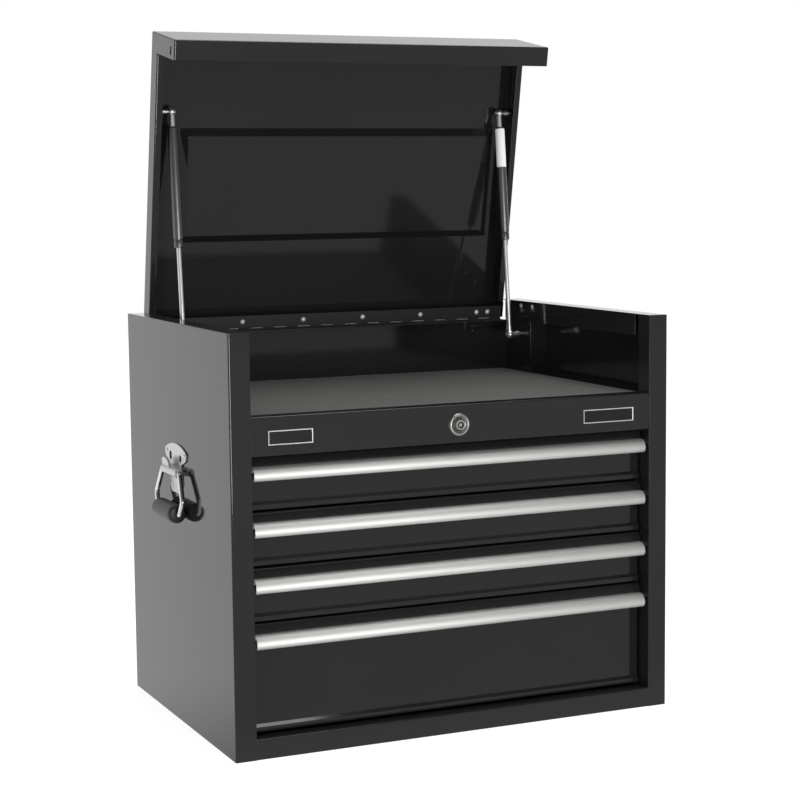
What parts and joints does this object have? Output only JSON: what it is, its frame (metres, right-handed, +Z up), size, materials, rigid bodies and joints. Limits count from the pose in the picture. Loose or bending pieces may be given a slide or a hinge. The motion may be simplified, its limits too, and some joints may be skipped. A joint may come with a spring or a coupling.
{
  "type": "top tool chest",
  "caption": "Sheet-steel top tool chest with a strut-held lift-up lid over a lined tray, a lock rail, stacked drawers on ball-bearing slides with full-width pulls, and side drop handles.",
  "frame": {"origin": "centre of the underside of the case", "axes": "+Z up, +X to the right of someone facing the drawers, drawer fronts towards -Y"},
  "size_m": [0.7296, 0.4919, 1.0011],
  "materials": {
    "black_paint": "gloss black enamel",
    "satin_aluminium": "satin anodised",
    "chrome": "bright",
    "zinc_steel": "bright zinc plate",
    "foam": "matte foam sheet",
    "grip_rubber": "satin moulded",
    "strut_black": "satin black",
    "badge": "gloss with bright frame"
  },
  "bodies": {
    "case": {"right_side_panel": "black_paint", "left_side_panel": "black_paint", "base_panel": "black_paint", "back_panel": "black_paint", "bottom_rail": "black_paint", "lock_rail": "black_paint", "tray_floor": "black_paint", "tray_mat": "foam", "strut_gussets": "black_paint", "right_slide_uprights": "black_paint", "left_slide_uprights": "black_paint", "case_hinge_leaf": "black_paint", "hinge_pin": "zinc_steel", "lower_strut_studs": "zinc_steel", "lock_housing": "chrome", "lock_nut": "zinc_steel", "rail_badges": "badge", "case_rivets": "zinc_steel", "right_handle_plate": "zinc_steel", "left_handle_plate": "zinc_steel", "right_outer_slides": "zinc_steel", "left_outer_slides": "zinc_steel"},
    "lid": {"lid_shell": "black_paint", "lid_hinge_leaf": "black_paint", "lid_hinge_rivets": "zinc_steel", "upper_strut_studs": "zinc_steel"},
    "lock": {"lock_plug": "chrome", "lock_cam": "zinc_steel"},
    "left_strut_tube": {"left_strut_tube": "strut_black", "left_strut_upper_socket": "zinc_steel"},
    "left_strut_rod": {"left_strut_rod": "chrome", "left_strut_lower_socket": "zinc_steel"},
    "left_handle": {"left_handle_bail": "chrome", "left_handle_grip": "grip_rubber"},
    "right_strut_tube": {"right_strut_tube": "strut_black", "right_strut_upper_socket": "zinc_steel"},
    "right_strut_rod": {"right_strut_rod": "chrome", "right_strut_lower_socket": "zinc_steel"},
    "right_handle": {"right_handle_bail": "chrome", "right_handle_grip": "grip_rubber"},
    "drawer_1": {"drawer_1_pan": "black_paint", "drawer_1_pull": "satin_aluminium", "drawer_1_liner": "foam", "drawer_1_inner_slides": "zinc_steel"},
    "drawer_1_runners": {"drawer_1_middle_slides": "zinc_steel"},
    "drawer_2": {"drawer_2_pan": "black_paint", "drawer_2_pull": "satin_aluminium", "drawer_2_liner": "foam", "drawer_2_inner_slides": "zinc_steel"},
    "drawer_2_runners": {"drawer_2_middle_slides": "zinc_steel"},
    "drawer_3": {"drawer_3_pan": "black_paint", "drawer_3_pull": "satin_aluminium", "drawer_3_liner": "foam", "drawer_3_inner_slides": "zinc_steel"},
    "drawer_3_runners": {"drawer_3_middle_slides": "zinc_steel"},
    "drawer_4": {"drawer_4_pan": "black_paint", "drawer_4_pull": "satin_aluminium", "drawer_4_liner": "foam", "drawer_4_inner_slides": "zinc_steel"},
    "drawer_4_runners": {"drawer_4_middle_slides": "zinc_steel"}
  },
  "joints": [
    {"name": "lid_hinge", "type": "hinge", "parent": "case", "child": "lid", "pos_m": [0, 0.2275, 0.5475], "axis": [-1, 0, 0], "range_deg": [-79.5, 0], "stiffness_Nm_per_rad": 2, "springref_deg": 74.48},
    {"name": "lock_turn", "type": "hinge", "parent": "case", "child": "lock", "pos_m": [0, -0.229, 0.4391], "axis": [0, -1, 0], "range_deg": [0, 90]},
    {"name": "left_strut_swing", "type": "hinge", "parent": "lid", "child": "left_strut_tube", "pos_m": [-0.2755, 0.18096, 0.88365], "axis": [-1, 0, 0], "range_deg": [-8.39, 0]},
    {"name": "left_strut_stroke", "type": "slide", "parent": "left_strut_tube", "child": "left_strut_rod", "axis": [0, 0.0965, 0.9953], "range_m": [0, 0.0967]},
    {"name": "left_handle_swing", "type": "hinge", "parent": "case", "child": "left_handle", "pos_m": [-0.3465, 0, 0.3685], "axis": [0, 1, 0], "range_deg": [0, 90]},
    {"name": "right_strut_swing", "type": "hinge", "parent": "lid", "child": "right_strut_tube", "pos_m": [0.2755, 0.18096, 0.88365], "axis": [-1, 0, 0], "range_deg": [-8.39, 0]},
    {"name": "right_strut_stroke", "type": "slide", "parent": "right_strut_tube", "child": "right_strut_rod", "axis": [0, 0.0965, 0.9953], "range_m": [0, 0.0967]},
    {"name": "right_handle_swing", "type": "hinge", "parent": "case", "child": "right_handle", "pos_m": [0.3465, 0, 0.3685], "axis": [0, -1, 0], "range_deg": [0, 90]},
    {"name": "drawer_1_slide", "type": "slide", "parent": "case", "child": "drawer_1", "axis": [0, -1, 0], "range_m": [0, 0.38]},
    {"name": "drawer_1_runner", "type": "slide", "parent": "case", "child": "drawer_1_runners", "axis": [0, -1, 0], "range_m": [0, 0.19]},
    {"name": "drawer_2_slide", "type": "slide", "parent": "case", "child": "drawer_2", "axis": [0, -1, 0], "range_m": [0, 0.38]},
    {"name": "drawer_2_runner", "type": "slide", "parent": "case", "child": "drawer_2_runners", "axis": [0, -1, 0], "range_m": [0, 0.19]},
    {"name": "drawer_3_slide", "type": "slide", "parent": "case", "child": "drawer_3", "axis": [0, -1, 0], "range_m": [0, 0.38]},
    {"name": "drawer_3_runner", "type": "slide", "parent": "case", "child": "drawer_3_runners", "axis": [0, -1, 0], "range_m": [0, 0.19]},
    {"name": "drawer_4_slide", "type": "slide", "parent": "case", "child": "drawer_4", "axis": [0, -1, 0], "range_m": [0, 0.38]},
    {"name": "drawer_4_runner", "type": "slide", "parent": "case", "child": "drawer_4_runners", "axis": [0, -1, 0], "range_m": [0, 0.19]}
  ],
  "couplings": [
    {"joint": "left_strut_swing", "follows": "lid_hinge", "ratio": 0.1054},
    {"joint": "left_strut_stroke", "follows": "lid_hinge", "m_per_rad": -0.069686},
    {"joint": "right_strut_swing", "follows": "lid_hinge", "ratio": 0.1054},
    {"joint": "right_strut_stroke", "follows": "lid_hinge", "m_per_rad": -0.069686},
    {"joint": "drawer_1_runner", "follows": "drawer_1_slide", "ratio": 0.5},
    {"joint": "drawer_2_runner", "follows": "drawer_2_slide", "ratio": 0.5},
    {"joint": "drawer_3_runner", "follows": "drawer_3_slide", "ratio": 0.5},
    {"joint": "drawer_4_runner", "follows": "drawer_4_slide", "ratio": 0.5}
  ]
}
